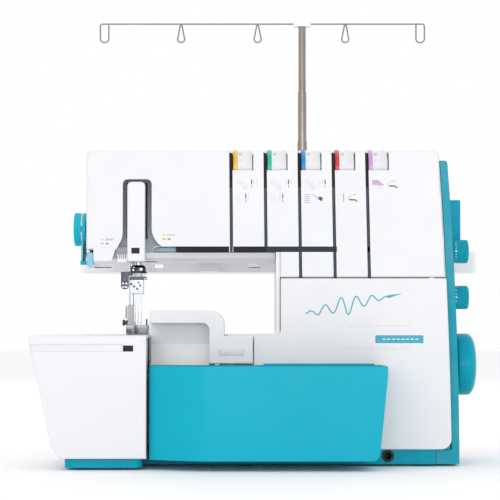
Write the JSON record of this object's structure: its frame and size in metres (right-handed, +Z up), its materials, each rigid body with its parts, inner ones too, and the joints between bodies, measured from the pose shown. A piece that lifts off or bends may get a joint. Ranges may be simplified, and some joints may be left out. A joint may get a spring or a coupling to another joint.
{
  "type": "overlock sewing machine",
  "caption": "Overlock and cover-stitch sewing machine with colour-ringed tension dials, hinged looper cover, pull-off waste bin and table, and a telescopic thread mast.",
  "frame": {"origin": "middle of the footprint on the surface that the rubber feet stand on", "axes": "+X to the right and +Y away from the seated user, +Z up"},
  "size_m": [0.463, 0.287, 0.4783],
  "materials": {
    "white_shell": "smooth injection-moulded, satin gloss",
    "tray_white": "moulded, light grey-white",
    "teal_shell": "gloss, deep teal",
    "bin_teal": "gloss, light teal",
    "knob_teal": "ribbed, teal",
    "grey_plastic": "fine grained grey",
    "dark_plastic": "fine grained dark",
    "rubber": "matt",
    "cast_aluminium": "sand cast",
    "motor_steel": "black enamel",
    "steel": "ground",
    "chrome": "polished",
    "mast_metal": "nickel plated"
  },
  "bodies": {
    "machine": {"base_tray": "teal_shell", "rubber_feet": "rubber", "main_frame": "cast_aluminium", "motor": "motor_steel", "drive_belt": "rubber", "rear_housing": "white_shell", "arm_front_cover": "white_shell", "thread_channel_liner": "grey_plastic", "head_inner_plate": "grey_plastic", "take_up_cover": "white_shell", "arm_lower_casing": "white_shell", "side_panel": "teal_shell", "lower_front_cover": "white_shell", "throat_trim": "white_shell", "cover_hinge_pins": "steel", "free_arm_casing": "white_shell", "needle_plate": "steel", "looper_pins": "steel", "needle_thread_guide": "white_shell", "thread_cutter": "knob_teal", "dial_axle": "steel", "power_socket": "dark_plastic", "knee_lift_socket": "dark_plastic", "spool_tray": "tray_white", "spool_pins": "mast_metal", "cone_holders": "tray_white", "mast_lower_tube": "mast_metal"},
    "drive_shaft": {"main_shaft": "steel", "handwheel": "knob_teal"},
    "motor_rotor": {"motor_pulley": "steel"},
    "needle_bar_group": {"needle_bar": "chrome", "needle_clamp": "chrome", "clamp_screws": "steel", "needles": "chrome"},
    "presser_group": {"presser_bar": "chrome", "presser_foot": "chrome"},
    "lifter": {"presser_lifter": "steel"},
    "feed": {"feed_dogs": "steel"},
    "looper_upper": {"upper_looper": "steel"},
    "looper_lower": {"lower_looper": "steel"},
    "knife": {"upper_knife": "steel"},
    "front_door": {"looper_cover": "white_shell"},
    "bin": {"waste_bin": "bin_teal"},
    "table": {"extension_table": "white_shell"},
    "table_button": {"table_release_button": "dark_plastic"},
    "pressure": {"pressure_knob": "knob_teal"},
    "differential": {"differential_knob": "knob_teal"},
    "stitch_length": {"length_knob": "knob_teal"},
    "air_lever": {"threading_lever": "bin_teal"},
    "mast_middle": {"mast_middle_tube": "mast_metal"},
    "mast_upper": {"mast_upper_rod": "mast_metal"},
    "antenna": {"guide_cap": "tray_white", "thread_guide_wire": "mast_metal"},
    "threader": {"threader_lever": "dark_plastic"},
    "rocker": {"power_switch": "dark_plastic"},
    "dial_1": {"tension_dial_1": "white_shell"},
    "dial_2": {"tension_dial_2": "white_shell"},
    "dial_3": {"tension_dial_3": "white_shell"},
    "dial_4": {"tension_dial_4": "white_shell"},
    "dial_5": {"tension_dial_5": "white_shell"}
  },
  "joints": [
    {"name": "handwheel_turn", "type": "hinge", "parent": "machine", "child": "drive_shaft", "pos_m": [0.206, -0.0315, 0.1005], "axis": [1, 0, 0], "continuous": true},
    {"name": "motor_spin", "type": "hinge", "parent": "machine", "child": "motor_rotor", "pos_m": [0.16, -0.0415, 0.052], "axis": [1, 0, 0], "continuous": true},
    {"name": "needle_bar_stroke", "type": "slide", "parent": "machine", "child": "needle_bar_group", "axis": [0, 0, 1], "range_m": [-0.025, 0]},
    {"name": "lifter_raise", "type": "hinge", "parent": "machine", "child": "lifter", "pos_m": [-0.145, 0.0225, 0.238], "axis": [1, 0, 0], "range_deg": [0, 35]},
    {"name": "presser_lift", "type": "slide", "parent": "machine", "child": "presser_group", "axis": [0, 0, 1], "range_m": [0, 0.006]},
    {"name": "feed_travel", "type": "slide", "parent": "machine", "child": "feed", "axis": [0, 1, 0], "range_m": [-0.002, 0.002]},
    {"name": "upper_looper_swing", "type": "hinge", "parent": "machine", "child": "looper_upper", "pos_m": [-0.078, -0.0475, 0.086], "axis": [0, 1, 0], "range_deg": [-10, 12]},
    {"name": "lower_looper_swing", "type": "hinge", "parent": "machine", "child": "looper_lower", "pos_m": [-0.064, -0.0545, 0.062], "axis": [0, 1, 0], "range_deg": [-8, 14]},
    {"name": "knife_fold", "type": "hinge", "parent": "machine", "child": "knife", "pos_m": [-0.117, -0.0425, 0.076], "axis": [1, 0, 0], "range_deg": [0, 12]},
    {"name": "looper_cover_open", "type": "hinge", "parent": "machine", "child": "front_door", "pos_m": [-0.034, -0.0824, 0.105], "axis": [1, 0, 0], "range_deg": [0, 90]},
    {"name": "bin_pull", "type": "slide", "parent": "machine", "child": "bin", "axis": [0, -1, 0], "range_m": [0, 0.07]},
    {"name": "table_pull", "type": "slide", "parent": "machine", "child": "table", "axis": [-1, 0, 0], "range_m": [0, 0.09]},
    {"name": "table_button_press", "type": "slide", "parent": "table", "child": "table_button", "axis": [0, 1, 0], "range_m": [0, 0.002], "stiffness_N_per_m": 200},
    {"name": "threader_press", "type": "slide", "parent": "machine", "child": "threader", "axis": [0, 1, 0], "range_m": [0, 0.002], "stiffness_N_per_m": 200},
    {"name": "pressure_turn", "type": "hinge", "parent": "machine", "child": "pressure", "pos_m": [-0.193, -0.0415, 0.2386], "axis": [1, 0, 0], "range_deg": [-180, 180]},
    {"name": "differential_turn", "type": "hinge", "parent": "machine", "child": "differential", "pos_m": [0.2, -0.0415, 0.216], "axis": [1, 0, 0], "range_deg": [-120, 120]},
    {"name": "stitch_length_turn", "type": "hinge", "parent": "machine", "child": "stitch_length", "pos_m": [0.2, -0.0415, 0.169], "axis": [1, 0, 0], "range_deg": [-120, 120]},
    {"name": "air_lever_pull", "type": "hinge", "parent": "machine", "child": "air_lever", "pos_m": [0.196, -0.0205, 0.224], "axis": [-1, 0, 0], "range_deg": [0, 55]},
    {"name": "dial_1_turn", "type": "hinge", "parent": "machine", "child": "dial_1", "pos_m": [-0.0226, -0.0607, 0.2995], "axis": [1, 0, 0], "range_deg": [-120, 120]},
    {"name": "dial_2_turn", "type": "hinge", "parent": "machine", "child": "dial_2", "pos_m": [0.0117, -0.0607, 0.2995], "axis": [1, 0, 0], "range_deg": [-120, 120]},
    {"name": "dial_3_turn", "type": "hinge", "parent": "machine", "child": "dial_3", "pos_m": [0.0458, -0.0607, 0.2995], "axis": [1, 0, 0], "range_deg": [-120, 120]},
    {"name": "dial_4_turn", "type": "hinge", "parent": "machine", "child": "dial_4", "pos_m": [0.0797, -0.0607, 0.2995], "axis": [1, 0, 0], "range_deg": [-120, 120]},
    {"name": "dial_5_turn", "type": "hinge", "parent": "machine", "child": "dial_5", "pos_m": [0.1133, -0.0607, 0.2995], "axis": [1, 0, 0], "range_deg": [-120, 120]},
    {"name": "mast_middle_drop", "type": "slide", "parent": "machine", "child": "mast_middle", "axis": [0, 0, -1], "range_m": [0, 0.052]},
    {"name": "mast_upper_drop", "type": "slide", "parent": "mast_middle", "child": "mast_upper", "axis": [0, 0, -1], "range_m": [0, 0.071]},
    {"name": "antenna_swivel", "type": "hinge", "parent": "mast_upper", "child": "antenna", "pos_m": [0.0425, 0.1035, 0.475], "axis": [0, 0, 1], "range_deg": [-90, 90]},
    {"name": "power_rock", "type": "hinge", "parent": "machine", "child": "rocker", "pos_m": [0.1852, 0.0105, 0.062], "axis": [0, 1, 0], "range_deg": [-5, 5]}
  ],
  "couplings": [
    {"joint": "motor_spin", "follows": "handwheel_turn", "ratio": 2.8889},
    {"joint": "lifter_raise", "follows": "presser_lift", "rad_per_m": 101.81}
  ]
}
